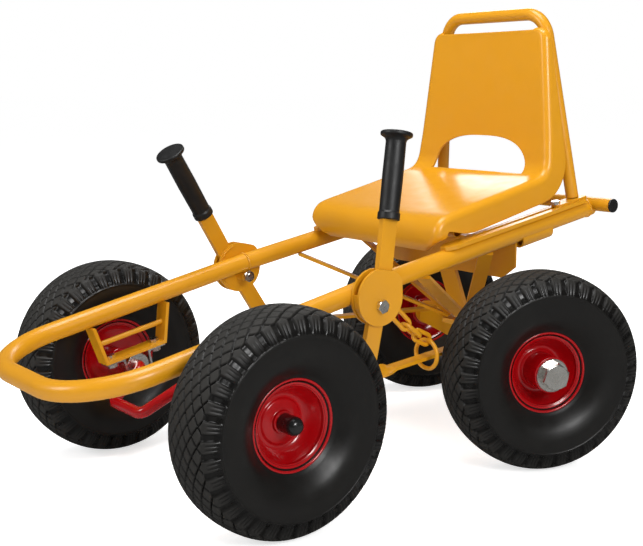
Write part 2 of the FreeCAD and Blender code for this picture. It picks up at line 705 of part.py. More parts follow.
def tyre_outline():
    """Hollow tyre section, open towards the rim, as (radius, distance from the wheel's middle)."""
    outer = size("tyre_radius")
    half = size("tyre_width") / 2
    wall = size("tyre_wall")
    seat = size("bead_radius") + 0.3
    lip = size("rim_lip_radius") + size("side_gap")
    bead = size("rim_width") / 2 - size("rim_sheet") - 3.6
    shoulder = outer - 12
    wide = (outer + lip) / 2
    right_side = [(seat, bead, 2), (lip + 1, bead + 2.6, 1), (lip + 3, bead + 8, 3), (wide, half, 40),
                  (shoulder, half - 9, 8), (outer, half - 34, 60)]
    inside = [(outer - wall - 2, half - 36, 50), (shoulder - wall, half - 9 - wall, 6), (wide, half - wall, 34),
              (lip + 3, bead, 4), (seat, bead - wall, 2)]
    mirrored_outer = [(r, -w, *rest) for r, w, *rest in right_side[::-1]]
    mirrored_inside = [(r, -w, *rest) for r, w, *rest in inside[::-1]]
    return right_side + mirrored_outer + mirrored_inside + inside


def front_wheel(side, name):
    place = across(side, front_half_track, 0, axle_z)
    bore = size("rod_radius") + size("running_gap")
    start = size("front_hub_out") + size("side_gap")
    tip = start + size("cap_length")
    edge = size("cap_radius")
    bottom = start + 0.6 * size("cap_length")
    rim = rim_outline(size("front_hub_radius"), size("front_hub_out"), bore, housing=False)
    named(turned(rim, place), f"{name}_front_rim")
    named(turned(tyre_outline(), place), f"{name}_front_tyre")
    cap = [(bore, start), (edge, start, 1), (edge, tip, edge - 1.5), (0, tip), (0, bottom), (bore, bottom)]
    named(turned(cap, place), f"{name}_front_cap")


def rear_wheel(side, name):
    place = steer.multiply(across(side, rear_half_track, 0, axle_z))
    bore = size("axle_bolt_radius") + size("running_gap")
    end = size("rear_hub_out") + size("side_gap")
    start = -size("hub_in") - 40
    rim = rim_outline(size("rear_hub_radius"), size("rear_hub_out"), bore, housing=True)
    named(turned(rim, place), f"{name}_rear_rim")
    named(turned(tyre_outline(), place), f"{name}_rear_tyre")
    shank = rod("Sizes.axle_bolt_radius", end - start, lifted(place, start))
    washer = rod("Sizes.washer_radius", "Sizes.washer_thick", lifted(place, end))
    head_place = lifted(place, end + size("washer_thick"))
    head = hexagon("Sizes.axle_bolt_flats", "Sizes.axle_bolt_head", head_place)
    named(fuse([shank, washer, head]), f"{name}_axle_bolt")


def wheels():
    for side, name in ((left, "left"), (right, "right")):
        front_wheel(side, name)
        rear_wheel(side, name)


# ---- rear axle ----

def rear_beam():
    """Square tube with a round flange at each end and the king pin sleeve through its middle."""
    flange_x = rear_half_track - size("hub_in") - size("side_gap") - size("beam_flange_thick")
    start = steer.multiply(placed((-flange_x, 0, axle_z), (1, 0, 0), (0, 0, 1)))
    inside = "Sizes.beam_side - 2 * Sizes.beam_wall"
    outer = bar(2 * flange_x, "Sizes.beam_side", "Sizes.beam_side", start)
    inner = bar(2 * flange_x, inside, inside, start)
    flanges = []
    shafts = []
    for side in (left, right):
        place = steer.multiply(across(side, flange_x, 0, axle_z))
        flanges.append(rod("Sizes.beam_flange_radius", "Sizes.beam_flange_thick", place))
        shafts.append(rod("Sizes.axle_bolt_radius", "Sizes.beam_flange_thick", place))
    half = size("kingpin_sleeve_half")
    upright = placed((0, kingpin_y, axle_z - half), (1, 0, 0), (0, 0, 1))
    sleeve = rod("Sizes.kingpin_sleeve_radius", 2 * half, upright)
    bore = rod("Sizes.kingpin_radius + Sizes.running_gap", 2 * half, upright)
    named(cut(fuse([cut(outer, inner), *flanges, sleeve]), bore, *shafts), "rear_beam")


def link_studs():
    """Upright studs on the beam that the links' rear eyes go over, with a washer above each."""
    top = axle_z + size("beam_side") / 2
    lift = size("stud_lift") + size("link_thick") / 2 + 3
    washer_thick = 2
    for side, name in ((left, "left"), (right, "right")):
        place = steer.multiply(placed((side * size("arm_radius"), 0, top), (1, 0, 0), (0, 0, 1)))
        shank = rod("Sizes.stud_radius", lift, place)
        collar = rod("2 * Sizes.stud_radius", washer_thick, place)
        washer = rod("Sizes.eye_radius - 1", washer_thick, lifted(place, lift))
        nut = hexagon("Sizes.small_flats", "Sizes.small_nut", lifted(place, lift + washer_thick))
        named(fuse([shank, collar, washer, nut]), f"{name}_link_stud")


# ---- levers and links ----

def lever_lean(side):
    """Forward lean at rest: the left lever is back and the right one forward."""
    return size("lever_neutral") - side * size("lever_swing")


def lever_place(side):
    turn = Rotation(Vector(1, 0, 0), lever_lean(side))
    return Placement(Vector(side * lever_x, pivot.y, pivot.z), turn)


def lever_route(side):
    """Lever axis from the link pin up to the grip's end, in its local X and Z."""
    lean = math.radians(size("lever_lean"))
    bend = size("lever_straight")
    above = size("lever_up") - bend - 6
    top = (-side * above * math.sin(lean), bend + above * math.cos(lean))
    return [(0, -size("lever_down") - 12), (0, bend), top]


def grip_outline():
    """Rubber grip with a collar at its foot and a flange near its end, as (radius, height)."""
    length = size("grip_length")
    grip = size("grip_radius")
    flange = size("grip_flange_radius")
    return [(0, 0), (grip + 1, 0, 1), (grip + 1, 9, 1), (grip - 0.6, 12, 2), (grip, length / 2),
            (grip - 0.5, length - 12, 8), (flange, length - 7, 2), (flange, length - 2, 2), (0, length)]


def levers():
    """Bent flat bar with its grip, and the pin that carries the link on its inner face."""
    lean = math.radians(size("lever_lean"))
    half = size("lever_thick") / 2
    pin_drop = -size("lever_down")
    stack = size("lever_thick") + size("link_gap") + size("link_thick") + size("link_play")
    through = 40
    for side, name in ((left, "left"), (right, "right")):
        place = lever_place(side)
        front_view = place.multiply(placed((0, 0, 0), (1, 0, 0), (0, -1, 0)))
        outline = strip(lever_route(side), size("lever_thick"))
        flat = plate(outline, "Sizes.lever_width", front_view)
        hole = rod("Sizes.pivot_bolt_radius + Sizes.running_gap", through,
                   place.multiply(crosswise(-through / 2, 0, 0)))
        pin_hole = rod("Sizes.stud_radius", through, place.multiply(crosswise(-through / 2, 0, pin_drop)))
        named(cut(flat, hole, pin_hole), f"{name}_lever_bar")

        axis = Vector(-side * math.sin(lean), 0, math.cos(lean))
        above = size("lever_up") - size("grip_length") - size("lever_straight")
        base = Vector(0, 0, size("lever_straight")) + axis * above
        grip = turned(grip_outline(), place.multiply(placed(base, (0, 1, 0), axis)))
        core = plate(outline, "Sizes.lever_width", front_view)
        named(cut(grip, core), f"{name}_lever_grip")

        head_place = place.multiply(placed((side * half, 0, pin_drop), (0, 1, 0), (side, 0, 0)))
        named(fuse(small_bolt(head_place, lifted(head_place, -stack), stack)), f"{name}_link_pin")


def link_ends(side):
    """Middle of the front hole and of the rear eye, at rest."""
    pin = lever_place(side).multVec(Vector(0, 0, -size("lever_down")))
    inset = size("lever_thick") / 2 + size("link_gap") + size("link_thick") / 2
    front = Vector(side * (lever_x - inset), pin.y, pin.z)
    # the eye sits half way between the stud's place at the lock and straight ahead
    stud_x = size("arm_radius") * (1 + math.cos(lock)) / 2
    stud_y = kingpin_y - side * size("arm_radius") * math.sin(lock)
    return front, Vector(side * stud_x, stud_y, axle_z + size("beam_side") / 2 + size("stud_lift"))


def quarter_twist(width, thick, start, end):
    """Flat bar along local X that turns from upright to lying flat."""
    across_half, up_half = width / 2, thick / 2
    corners = [(-across_half, -up_half), (across_half, -up_half), (across_half, up_half), (-across_half, up_half)]
    sections = []
    steps = 6
    for step in range(steps + 1):
        x = start + (end - start) * step / steps
        turn = Rotation(Vector(1, 0, 0), 90 * (1 - step / steps))
        ring = [turn.multVec(Vector(0, a, b)) + Vector(x, 0, 0) for a, b in corners]
        sections.append(Part.makePolygon(ring + ring[:1]))
    twist = doc.addObject("Part::Feature", "Twist")
    twist.Shape = Part.makeLoft(sections, True, True)
    return twist


def links():
    """Flat bar with a quarter twist: upright at the lever, lying flat at the rear eye."""
    half = size("link_width") / 2
    thick = size("link_thick")
    twist_start, twist_end = size("twist_start"), size("twist_end")
    upright_outline = [(-half, half, 0.8 * half), (-half, -half, 0.8 * half), (twist_start, -half),
                       (twist_start, half)]
    through = 40
    for side, name in ((left, "left"), (right, "right")):
        front, rear = link_ends(side)
        run = rear - front
        # local X runs along the bar and local Z is up
        place = placed(front, run, run.cross(Vector(1, 0, 0)))
        twist = moved(quarter_twist(2 * half, thick, twist_start, twist_end), place)
        on_edge = place.multiply(placed((0, 0, 0), (1, 0, 0), (0, 1, 0)))
        upright = plate(upright_outline, "Sizes.link_thick", on_edge)
        pin_hole = rod("Sizes.stud_radius + Sizes.running_gap", through,
                       crosswise(front.x - through / 2, front.y, front.z))
        flat = bar(run.Length - twist_end, "Sizes.link_width", "Sizes.link_thick",
                   place.multiply(Placement(Vector(twist_end, 0, 0), Rotation())))
        at_eye = place.multiply(Placement(Vector(run.Length, 0, -thick / 2), Rotation()))
        eye = rod("Sizes.eye_radius", "Sizes.link_thick", at_eye)
        hole = rod("Sizes.stud_radius + Sizes.eye_play", "Sizes.link_thick", at_eye)
        named(cut(fuse([upright, twist, flat, eye]), hole, pin_hole), f"{name}_link")


def chain_ring(centre, along, normal, length, width):
    """Closed ring of round wire. Length and width are inside it."""
    wire = size("chain_wire") / 2
    half, edge = length / 2 + wire, width / 2 + wire
    corner = min(half, edge) - 0.01
    route = edges_of([(x, y, corner) for x, y in ((-half, -edge), (half, -edge), (half, edge), (-half, edge))])
    path = Part.Wire([edge.toShape() for edge in route])
    first = path.Edges[0]
    heading = first.tangentAt(first.FirstParameter)
    profile = Part.Wire([Part.Circle(first.valueAt(first.FirstParameter), heading, wire).toShape()])
    solid = Part.Solid(path.makePipeShell([profile], True, True))
    solid.Placement = placed(centre, along, normal)
    return solid


def chain():
    """Slack chain from the left inner plate to a guide ring that the left link slides through."""
    wire = size("chain_wire") / 2
    front, rear = link_ends(left)
    run = (rear - front).normalize()
    at = front + run * ((size("guide_y") - front.y) / run.y)
    # the bar moves across and up inside the ring as it slides
    guide = at + Vector(7, 0, (size("guide_high") - size("link_width") - 3) / 2)
    solids = [chain_ring(guide, (0, 0, 1), (0, 1, 0), size("guide_high"), size("guide_wide"))]
    top = Vector(inner_plate_x - 7, pivot.y + size("plate_radius") + 6, pivot.z - 18)
    end = guide + Vector(0, 0, size("guide_high") / 2 + wire)
    count = 3
    points = []
    for n in range(count + 1):
        sag = Vector(0, 0, size("chain_sag") * math.sin(math.pi * n / count))
        points.append(top + (end - top) * (n / count) - sag)
    for n in range(count):
        reach = points[n + 1] - points[n]
        flat = Vector(1, 0, 0) if n % 2 == 0 else Vector(1, 0, 0).cross(reach)
        middle = (points[n] + points[n + 1]) / 2
        length = reach.Length + size("chain_overlap")
        solids.append(chain_ring(middle, reach, flat, length, size("chain_inner_width")))
    piece = doc.addObject("Part::Feature", "Chain")
    piece.Shape = Part.makeCompound(solids)
    named(piece, "chain")


# ---- seat ----

def seat_rails():
    """Slotted flat on top of each side tube."""
    front, rear = size("rail_front"), size("rail_rear")
    half = size("rail_width") / 2
    slot = size("slot_width") / 2
    nose = 16
    length = (rear - front) * rail_drop
    slot_from = (size("slot_front") - front) * rail_drop
    slot_to = (size("slot_rear") - front) * rail_drop
    outline = [(8 - half, 0), (half - 8, 0), (half, nose), (half, length), (-half, length), (-half, nose)]
    corners = ((-slot, slot_from), (slot, slot_from), (slot, slot_to), (-slot, slot_to))
    slot_outline = [(x, y, slot - 0.1) for x, y in corners]
    for side, name in ((left, "left"), (right, "right")):
        place = rail_placement(side, front, rail_top - size("rail_thick") / 2)
        flat = plate(outline, "Sizes.rail_thick", place)
        opening = plate(slot_outline, "Sizes.rail_thick + 2", place)
        named(cut(flat, opening, side_rod(side, front - 40, 1.4 * length)), f"{name}_seat_rail")


seat_half_width = half_width - size("seat_inset")
seat_top_half_width = seat_half_width - size("seat_taper")
# heights of the seat are taken from the top of the rails under its front edge
seat_base = along_rail(left, size("seat_front"), rail_top + rail_sink).z
fold_y = size("seat_front") + size("pan_depth")
fold_z = seat_base + 43 + size("pan_rise")
back_y = fold_y + size("back_lean")
seat_top = fold_z + size("back_height")


def seat_outlines():
    """Side view of the seat's skin, from the front lip up over the pan to the top of the back."""
    front = size("seat_front")
    skin = size("seat_sheet")
    lip_low, lip_high = seat_base - 8, seat_base + 12
    pan_z = fold_z - size("pan_rise")
    outer = [(front + 12, lip_low), (front, lip_high, 12), (front + 10, pan_z, 16), (fold_y, fold_z, 22),
             (back_y, seat_top), (back_y + 6, seat_top), (fold_y + 42, fold_z + 9, 20),
             (fold_y + 34, fold_z - 26), (front + 60, lip_high + 36 - size("seat_flange")), (front + 28, lip_low + 6, 10)]
    inner = [(front + 12 + skin, lip_low - 26), (front + skin, lip_high, 9), (front + 13, pan_z - skin, 13),
             (fold_y + 2, fold_z - skin, 18), (back_y + skin, seat_top + 10), (back_y + 116, seat_top + 10),
             (back_y + 116, lip_low - 26)]
    return outer, inner


def seat_shell():
    """Skin with turned-down sides and an arched opening low in the back."""
    outer, inner = seat_outlines()
    skin = size("seat_sheet")
    wide, narrow = seat_half_width, seat_top_half_width
    foot, hem, hip = seat_base - 15, seat_base + 20, fold_z - 6
    facing = placed((0, fold_y - 120, 0), (1, 0, 0), (0, -1, 0))

    def front_view(inset, rise):
        return plate([(-wide + inset, hem), (-wide + 38, foot), (wide - 38, foot), (wide - inset, hem),
                      (wide - inset, hip), (narrow - inset, seat_top + rise, 8),
                      (-narrow + inset, seat_top + rise, 8), (-wide + inset, hip)], "600", facing)

    def common(base, tool):
        piece = doc.addObject("Part::Common", "Common")
        piece.Base, piece.Tool = base, tool
        return piece

    across_seat = f"{2 * wide}"
    solid = common(plate(outer, across_seat, side_view(0)), front_view(0, 0))
    hollow = common(plate(inner, across_seat, side_view(0)), front_view(skin, 20))
    arch_half = size("arch_half_width")
    shoulder = arch_half - 9
    arch = plate([(-arch_half, fold_z + 2, 4), (arch_half, fold_z + 2, 4), (shoulder, fold_z + 41, 26),
                  (0, fold_z + 61, 90), (-shoulder, fold_z + 41, 26)], "120",
                 placed((0, back_y + 36, 0), (1, 0, 0), (0, -1, 0)))
    named(cut(solid, hollow, arch), "seat_shell")


def seat_frame():
    """Hoop, its two feet with clamp bolts, and the cross tube under the pan."""
    settle = 0.2
    sole = rail_top + settle
    foot_top = sole + size("foot_thick")
    end = size("foot_end")
    foot = along_rail(left, end - 18, foot_top - settle)
    hoop_y = back_y + size("seat_sheet") + size("hoop_outer") / 2 + 2 * settle
    rise = Vector(0, hoop_y - foot.y, seat_top + size("hoop_above") - foot.z)
    foot_x = half_width - 4
    corner = size("hoop_half_width")
    bend = size("hoop_bend")
    route = [(foot_x, 0), (corner, rise.Length, bend), (-corner, rise.Length, bend), (-foot_x, 0)]
    lean = math.degrees(math.atan2(foot_x - corner, rise.Length))
    hoop_place = placed((0, foot.y, foot.z), (1, 0, 0), Vector(1, 0, 0).cross(rise))
    hoop = bent_tube(route, size("hoop_outer"), size("hoop_wall"), hoop_place, lean)
    floor = block(Vector(), Vector(2 * half_width, 2 * size("foot_length"), rail_top))
    on_rails = rail_placement(left, end, foot_top).multiply(
        Placement(Vector(-2 * half_width, -size("foot_length"), -rail_top), Rotation()))
    named(cut(hoop, moved(floor, on_rails)), "seat_hoop")

    half = size("rail_width") / 2 - 3
    toe = -size("foot_length")
    outline = [(-half, 0, 3), (half, 0, 3), (half, toe, 8), (-half, toe, 8)]
    bolt_back = -(end - size("slot_rear")) * rail_drop - size("clamp_bolt_radius") - 1
    holes = [(0, bolt_back, size("clamp_bolt_radius"))]
    down = size("foot_thick") + size("rail_thick") - rail_sink - settle
    for side, name in ((left, "left"), (right, "right")):
        place = rail_placement(side, end, sole + size("foot_thick") / 2)
        named(plate(outline, "Sizes.foot_thick", place, holes), f"{name}_seat_foot")
        at_bolt = place.multiply(Placement(Vector(0, bolt_back, size("foot_thick") / 2), Rotation()))
        shank = rod("Sizes.clamp_bolt_radius", down, lifted(at_bolt, -down))
        head = hexagon("Sizes.small_flats", "Sizes.small_head", at_bolt)
        named(fuse([shank, head]), f"{name}_clamp_bolt")

    radius = size("front_tube_outer") / 2
    at = along_rail(left, size("seat_front") + 60, sole + radius)
    half_tube = seat_half_width - 13
    place = crosswise(-half_tube, at.y, at.z)
    outer = rod("Sizes.front_tube_outer / 2", 2 * half_tube, place)
    inner = rod("Sizes.front_tube_outer / 2 - Sizes.tube_wall", 2 * half_tube, place)
    named(cut(outer, inner), "seat_front_tube")


front_loop()
side_tubes()
push_bar()
front_bearings()
pivot_plates()
cross_plate()
kingpin_mount()
crank_axle()
wheels()
rear_beam()
link_studs()
levers()
links()
chain()
seat_rails()
seat_shell()
seat_frame()

doc.recompute()

faults = [f"{o.Label}: {o.State}" for o in doc.Objects if "Invalid" in o.State or "Error" in o.State]
for label, piece in finished.items():
    shape = piece.Shape
    if shape.isNull() or not shape.isValid() or not shape.Solids:
        faults.append(f"{label}: bad shape")
if faults:
    print("\n".join(faults))
    sys.exit("the model did not build")

os.makedirs("parts", exist_ok=True)
for label, piece in sorted(finished.items()):
    piece.Shape.exportStep(f"parts/{label}.step")
    print(f"{label}: {len(piece.Shape.Solids)} solid, {piece.Shape.Volume / 1000:.1f} cm3")
print(len(finished), "pieces")
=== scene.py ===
import json
import math

import bpy
import numpy as np
from mathutils import Matrix, Vector


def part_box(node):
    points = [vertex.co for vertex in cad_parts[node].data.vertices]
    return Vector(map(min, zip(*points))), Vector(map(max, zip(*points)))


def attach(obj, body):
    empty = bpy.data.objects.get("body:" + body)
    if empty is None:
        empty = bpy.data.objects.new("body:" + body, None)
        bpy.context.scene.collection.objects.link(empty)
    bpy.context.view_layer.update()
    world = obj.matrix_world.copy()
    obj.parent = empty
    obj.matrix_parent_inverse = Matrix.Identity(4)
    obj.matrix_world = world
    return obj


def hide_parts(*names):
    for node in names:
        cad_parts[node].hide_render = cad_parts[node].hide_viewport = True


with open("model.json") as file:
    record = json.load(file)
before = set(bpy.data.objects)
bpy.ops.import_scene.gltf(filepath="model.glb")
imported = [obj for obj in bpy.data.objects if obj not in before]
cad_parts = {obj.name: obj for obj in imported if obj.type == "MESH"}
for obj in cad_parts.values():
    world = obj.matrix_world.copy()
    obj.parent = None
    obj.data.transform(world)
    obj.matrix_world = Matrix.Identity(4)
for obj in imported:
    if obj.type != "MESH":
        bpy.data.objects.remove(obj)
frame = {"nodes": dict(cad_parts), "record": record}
record = frame["record"]
nodes = frame["nodes"]
jointOf = {joint["name"]: joint for joint in record["behaviour"]["joints"]}
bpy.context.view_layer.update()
print("frame loaded:", len(nodes), "nodes")

# everything below is in metres, +X the driver's left, +Y the rear, +Z up
mm = 0.001


def unit(v):
    # the same direction with a length of one
    v = np.asarray(v, float)
    return v / np.linalg.norm(v)


def makeMesh(name, points, faces, material, body):
    # one smooth-shaded piece from arrays of points and faces, riding on its body
    mesh = bpy.data.meshes.new(name)
    mesh.from_pydata(points.tolist(), [], faces.tolist())
    mesh.polygons.foreach_set("use_smooth", np.full(len(faces), True))
    mesh.materials.append(material)
    mesh.update()
    piece = bpy.data.objects.new(name, mesh)
    bpy.context.scene.collection.objects.link(piece)
    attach(piece, body)
    return piece


def gridFaces(rows, columns, closeRows=False, closeColumns=False):
    # four corners of each cell of a grid of points, wrapping round where it is closed
    r = np.arange(rows if closeRows else rows - 1)
    c = np.arange(columns if closeColumns else columns - 1)
    r, c = np.meshgrid(r, c, indexing="ij")
    r2, c2 = (r + 1) % rows, (c + 1) % columns
    corners = [r * columns + c, r2 * columns + c, r2 * columns + c2, r * columns + c2]
    return np.stack(corners, -1).reshape(-1, 4)


def outward(points, faces):
    # a closed surface encloses a positive volume when its faces point outwards
    a, b, c, d = (points[faces[:, k]] for k in range(4))
    volume = np.einsum("ij,ij->", a, np.cross(b, c)) + np.einsum("ij,ij->", a, np.cross(c, d))
    return faces if volume > 0 else faces[:, ::-1]


def smoothLine(corners, count):
    # Catmull-Rom curve through the corner points, sampled evenly along its length
    p = np.asarray(corners, float)
    p = np.vstack([2 * p[0] - p[1], p, 2 * p[-1] - p[-2]])
    t = np.linspace(0, 1, 24, endpoint=False)[:, None]
    a, b, c, d = p[:-3, None], p[1:-2, None], p[2:-1, None], p[3:, None]
    square, cube = 2 * a - 5 * b + 4 * c - d, 3 * b - a - 3 * c + d
    curve = 0.5 * (2 * b + (c - a) * t + square * t**2 + cube * t**3)
    curve = np.vstack([curve.reshape(-1, p.shape[1]), p[-2]])
    along = np.concatenate([[0], np.cumsum(np.linalg.norm(np.diff(curve, axis=0), axis=1))])
    at = np.linspace(0, along[-1], count) if np.isscalar(count) else np.asarray(count)
    return np.stack([np.interp(at, along, curve[:, k]) for k in range(p.shape[1])], -1)


# camera, floor and light

view = {"place": (1.4339, -0.8216, 0.5670), "turn": 53.45, "down": 8.89, "roll": -0.12, "lens": 66.0}

cameraData = bpy.data.cameras.new("camera")
cameraData.lens = view["lens"]
cameraData.sensor_width = 36
cameraData.clip_start = 0.05
camera = bpy.data.objects.new("camera", cameraData)
camera.matrix_world = (Matrix.Translation(view["place"])
                       @ Matrix.Rotation(math.radians(view["turn"]), 4, "Z")
                       @ Matrix.Rotation(math.radians(90 - view["down"]), 4, "X")
                       @ Matrix.Rotation(math.radians(view["roll"]), 4, "Z"))
bpy.context.scene.collection.objects.link(camera)
bpy.context.scene.camera = camera


def byRay(tree, nodeName, socket, usual, mirrored, seen):
    # one value for the light on the kart, one in its reflections, one where the backdrop is seen
    ray = tree.nodes.new("ShaderNodeLightPath")
    inGloss = tree.nodes.new("ShaderNodeMapRange")
    inGloss.inputs["To Min"].default_value = usual
    inGloss.inputs["To Max"].default_value = mirrored
    inView = tree.nodes.new("ShaderNodeMapRange")
    inView.inputs["To Max"].default_value = seen
    tree.links.new(ray.outputs["Is Glossy Ray"], inGloss.inputs["Value"])
    tree.links.new(inGloss.outputs["Result"], inView.inputs["To Min"])
    tree.links.new(ray.outputs["Is Camera Ray"], inView.inputs["Value"])
    tree.links.new(inView.outputs["Result"], tree.nodes[nodeName].inputs[socket])


studio = {
    "floor": 60.0,                              # half the floor's width, m
    "floorTone": 0.94, "floorMirrored": 0.22,   # how pale it is, and how pale in reflections
    "floorGlow": 0.05, "floorSeen": 0.66,       # its own light on the kart, and where it is seen
    "worldTone": 1.0, "worldPower": 0.36, "worldMirrored": 0.10, "worldSeen": 1.0,
}

floorMesh = bpy.data.meshes.new("floor")
half = studio["floor"]
floorCorners = [(-half, -half, 0), (half, -half, 0), (half, half, 0), (-half, half, 0)]
floorMesh.from_pydata(floorCorners, [], [(0, 1, 2, 3)])
floor = bpy.data.objects.new("floor", floorMesh)
bpy.context.scene.collection.objects.link(floor)
paper = bpy.data.materials.new("paleFloor")
paper.use_nodes = True
paperShader = paper.node_tree.nodes["Principled BSDF"]
byRay(paper.node_tree, "Principled BSDF", "Base Color", studio["floorTone"], studio["floorMirrored"],
      studio["floorTone"])
paperShader.inputs["Roughness"].default_value = 0.9
paperShader.inputs["Specular IOR Level"].default_value = 0.0
paperShader.inputs["Emission Color"].default_value = (1, 1, 1, 1)
byRay(paper.node_tree, "Principled BSDF", "Emission Strength", studio["floorGlow"], 0.0,
      studio["floorSeen"])
floorMesh.materials.append(paper)

world = bpy.data.worlds.new("studio")
world.use_nodes = True
world.node_tree.nodes["Background"].inputs["Color"].default_value = (studio["worldTone"],) * 3 + (1,)
byRay(world.node_tree, "Background", "Strength", studio["worldPower"], studio["worldMirrored"],
      studio["worldSeen"])
bpy.context.scene.world = world

lamps = {  # place, size, power
    "overhead": ((0.1, 0.0, 2.4), 1.2, 40),
    "keySide": ((2.6, -0.2, 1.5), 0.8, 38),
    "frontSide": ((-0.9, -2.7, 1.7), 1.0, 28),
    "rearSide": ((-1.6, 2.2, 1.7), 1.0, 16),
}
aim = Vector((0, 0.3, 0.25))
bpy.context.scene.view_settings.view_transform = "Standard"
for name, (place, width, power) in lamps.items():
    data = bpy.data.lights.new(name, "AREA")
    data.shape = "SQUARE"
    data.size = width
    data.energy = power
    lamp = bpy.data.objects.new(name, data)
    lamp.location = place
    lamp.rotation_euler = (aim - Vector(place)).to_track_quat("-Z", "Y").to_euler()
    bpy.context.scene.collection.objects.link(lamp)
print("camera, floor and lamps made")

# shader groups that the finishes share


def newGroup(name, inputs, outputs):
    # an empty group with named sockets, and the nodes at its two ends
    group = bpy.data.node_groups.new(name, "ShaderNodeTree")
    for label, kind, value in inputs:
        socket = group.interface.new_socket(label, in_out="INPUT", socket_type=kind)
        if value is not None:
            socket.default_value = value
    for label, kind in outputs:
        group.interface.new_socket(label, in_out="OUTPUT", socket_type=kind)
    source = group.nodes.new("NodeGroupInput")
    sink = group.nodes.new("NodeGroupOutput")
    return group, source, sink


def grainGroup():
    # two noises of different size, mixed to one height and one mask
    group, source, sink = newGroup(
        "surfaceGrain",
        [("Position", "NodeSocketVector", None), ("Fine", "NodeSocketFloat", 900.0),
         ("Coarse", "NodeSocketFloat", 60.0), ("Coarse Share", "NodeSocketFloat", 0.4)],
        [("Height", "NodeSocketFloat"), ("Mask", "NodeSocketFloat")])
    fine = group.nodes.new("ShaderNodeTexNoise")
    fine.inputs["Detail"].default_value = 3
    coarse = group.nodes.new("ShaderNodeTexNoise")
    coarse.inputs["Detail"].default_value = 4
    mix = group.nodes.new("ShaderNodeMix")
    link = group.links.new
    link(source.outputs["Position"], fine.inputs["Vector"])
    link(source.outputs["Position"], coarse.inputs["Vector"])
    link(source.outputs["Fine"], fine.inputs["Scale"])
    link(source.outputs["Coarse"], coarse.inputs["Scale"])
    link(source.outputs["Coarse Share"], mix.inputs["Factor"])
    link(fine.outputs["Fac"], mix.inputs["A"])
    link(coarse.outputs["Fac"], mix.inputs["B"])
    link(mix.outputs["Result"], sink.inputs["Height"])
    link(coarse.outputs["Fac"], sink.inputs["Mask"])
    return group


def wearGroup():
    # pale dust laid over the clean tone in the patches where a noise is high
    group, source, sink = newGroup(
        "dustAndWear",
        [("Position", "NodeSocketVector", None), ("Clean", "NodeSocketColor", (1, 1, 1, 1)),
         ("Dust", "NodeSocketColor", (0.4, 0.36, 0.3, 1)), ("Amount", "NodeSocketFloat", 0.1),
         ("Scale", "NodeSocketFloat", 25.0)],
        [("Color", "NodeSocketColor")])
    noise = group.nodes.new("ShaderNodeTexNoise")
    noise.inputs["Detail"].default_value = 8
    noise.inputs["Roughness"].default_value = 0.65
    ramp = group.nodes.new("ShaderNodeMapRange")
    ramp.inputs["From Min"].default_value = 0.45
    ramp.inputs["From Max"].default_value = 0.75
    scaled = group.nodes.new("ShaderNodeMath")
    scaled.operation = "MULTIPLY"
    mix = group.nodes.new("ShaderNodeMix")
    mix.data_type = "RGBA"
    link = group.links.new
    link(source.outputs["Position"], noise.inputs["Vector"])
    link(source.outputs["Scale"], noise.inputs["Scale"])
    link(noise.outputs["Fac"], ramp.inputs["Value"])
    link(ramp.outputs["Result"], scaled.inputs[0])
    link(source.outputs["Amount"], scaled.inputs[1])
    link(scaled.outputs[0], mix.inputs["Factor"])
    link(source.outputs["Clean"], mix.inputs["A"])
    link(source.outputs["Dust"], mix.inputs["B"])
    link(mix.outputs["Result"], sink.inputs["Color"])
    return group


surfaceGrain = grainGroup()
dustAndWear = wearGroup()
grainDepth = 0.0004


def finish(name, tone, rough, dust, dustAmount, grain, bump, metallic=0.0, coat=0.0, coatRough=0.05,
           roughSpread=0.08):
    # a shader with dust over its tone, uneven gloss and a fine grain; returned with the parts others change
    material = bpy.data.materials.new(name)
    material.use_nodes = True
    tree = material.node_tree
    shader = tree.nodes["Principled BSDF"]
    shader.inputs["Metallic"].default_value = metallic
    shader.inputs["Coat Weight"].default_value = coat
    shader.inputs["Coat Roughness"].default_value = coatRough
    place = tree.nodes.new("ShaderNodeTexCoord")
    wear = tree.nodes.new("ShaderNodeGroup")
    wear.node_tree = dustAndWear
    wear.inputs["Clean"].default_value = (*tone, 1)
    wear.inputs["Dust"].default_value = (*dust, 1)
    wear.inputs["Amount"].default_value = dustAmount
    speckle = tree.nodes.new("ShaderNodeGroup")
    speckle.node_tree = surfaceGrain
    speckle.inputs["Fine"].default_value = grain[0]
    speckle.inputs["Coarse"].default_value = grain[1]
    speckle.inputs["Coarse Share"].default_value = grain[2]
    gloss = tree.nodes.new("ShaderNodeMapRange")
    gloss.inputs["From Min"].default_value = 0.3
    gloss.inputs["From Max"].default_value = 0.7
    gloss.inputs["To Min"].default_value = rough - roughSpread
    gloss.inputs["To Max"].default_value = rough + roughSpread
    relief = tree.nodes.new("ShaderNodeBump")
    relief.inputs["Strength"].default_value = bump
    relief.inputs["Distance"].default_value = grainDepth
    link = tree.links.new
    link(place.outputs["Object"], wear.inputs["Position"])
    link(place.outputs["Object"], speckle.inputs["Position"])
    link(wear.outputs["Color"], shader.inputs["Base Color"])
    link(speckle.outputs["Mask"], gloss.inputs["Value"])
    link(gloss.outputs["Result"], shader.inputs["Roughness"])
    link(speckle.outputs["Height"], relief.inputs["Height"])
    link(relief.outputs["Normal"], shader.inputs["Normal"])
    return material, {"tree": tree, "shader": shader, "wear": wear, "gloss": gloss}


